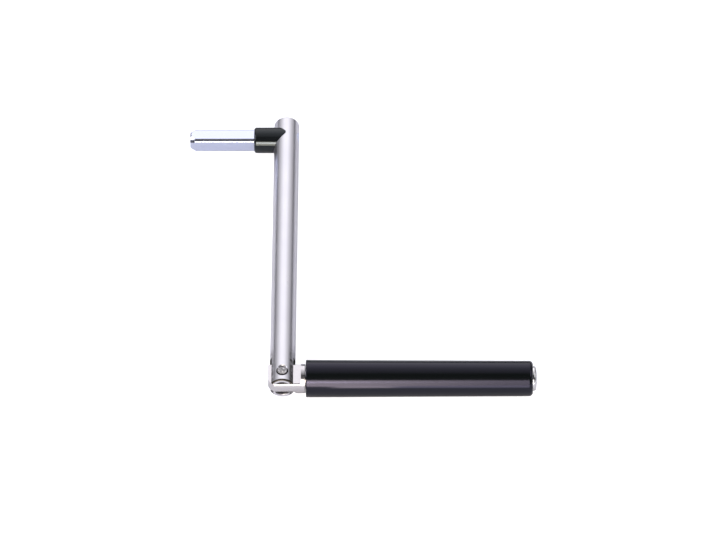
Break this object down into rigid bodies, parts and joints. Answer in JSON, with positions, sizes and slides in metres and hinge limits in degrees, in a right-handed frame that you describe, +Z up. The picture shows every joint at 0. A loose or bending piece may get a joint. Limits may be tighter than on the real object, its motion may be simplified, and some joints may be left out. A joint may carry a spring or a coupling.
{
  "type": "crank handle",
  "caption": "Folding hand crank: square drive shank with a black collar, tubular steel arm, and a turning black grip on a hinged spindle held by a sprung plunger",
  "frame": {"origin": "Centre of the underside of the bounding box, with the crank lying flat and the grip's underside at Z 0.", "axes": "X runs along the grip from the hinge to its free end, and the drive shank points the other way. Y runs up the arm from the hinge to the shank. Z is up, along the hinge axis."},
  "size_m": [0.2102, 0.2242, 0.0223],
  "materials": {
    "arm_metal": "satin nickel plated steel tube",
    "shank_metal": "bright zinc plated steel, slightly blue",
    "spindle_metal": "bright nickel plated steel, turned and milled",
    "pin_metal": "plain turned steel",
    "cap_metal": "bright plated sheet steel",
    "inner_steel": "plain steel",
    "spring_steel": "spring steel",
    "collar_plastic": "smooth black moulded plastic",
    "grip_plastic": "smooth black moulded plastic, half gloss",
    "plunger_plastic": "black acetal",
    "bush_plastic": "natural acetal"
  },
  "bodies": {
    "arm": {"arm_tube": "arm_metal", "arm_plug": "arm_metal", "drive_shank": "shank_metal", "shank_collar": "collar_plastic", "spring_seat": "inner_steel", "detent_spring": "spring_steel", "hinge_pin": "pin_metal"},
    "plunger": {"detent_plunger": "plunger_plastic"},
    "spindle": {"hinge_spindle": "spindle_metal", "end_washer": "inner_steel", "star_washer": "spring_steel", "end_cap": "cap_metal"},
    "grip": {"grip": "grip_plastic", "inner_bush": "bush_plastic", "outer_bush": "bush_plastic"}
  },
  "joints": [
    {"name": "fold", "type": "hinge", "parent": "arm", "child": "spindle", "pos_m": [-0.0461, -0.10093, 0.01115], "axis": [0, 0, -1], "range_deg": [0, 90]},
    {"name": "grip_turn", "type": "hinge", "parent": "spindle", "child": "grip", "pos_m": [0.0339, -0.10093, 0.01115], "axis": [1, 0, 0], "continuous": true},
    {"name": "plunger_slide", "type": "slide", "parent": "arm", "child": "plunger", "axis": [0, 1, 0], "range_m": [-0.0037, 0], "stiffness_N_per_m": 800, "springref_m": -0.006, "deforming": ["detent_spring"]}
  ]
}
